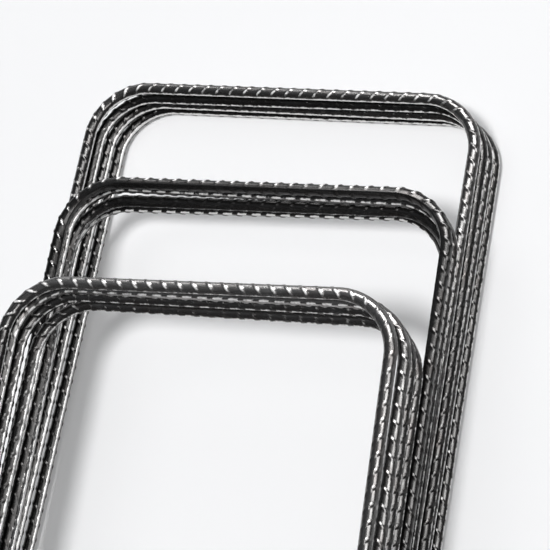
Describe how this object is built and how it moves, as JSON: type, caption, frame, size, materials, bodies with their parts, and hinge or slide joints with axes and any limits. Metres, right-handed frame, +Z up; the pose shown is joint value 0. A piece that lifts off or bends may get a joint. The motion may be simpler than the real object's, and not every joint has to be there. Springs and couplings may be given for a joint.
{
  "type": "bundle of rebar stirrups",
  "caption": "Bundle of rectangular rebar stirrups with rounded corners, bent from ribbed steel bar and laid flat in overlapping stacks; each ties the long bars of a concrete beam.",
  "frame": {"origin": "on the floor under the middle of the bundle", "axes": "+X to the right along the far sides of the stirrups, +Y from the viewer towards the far sides, +Z up"},
  "size_m": [0.2782, 0.5879, 0.1065],
  "materials": {
    "bar_steel": "dark rolled mill scale with a semi-gloss sheen on the ribs"
  },
  "bodies": {
    "root": {"back_stirrup_1": "bar_steel", "back_stirrup_2": "bar_steel", "back_stirrup_3": "bar_steel", "back_stirrup_4": "bar_steel", "middle_stirrup_1": "bar_steel", "middle_stirrup_2": "bar_steel", "middle_stirrup_3": "bar_steel", "middle_stirrup_4": "bar_steel", "front_stirrup_1": "bar_steel", "front_stirrup_2": "bar_steel", "front_stirrup_3": "bar_steel", "front_stirrup_4": "bar_steel"}
  },
  "joints": []
}
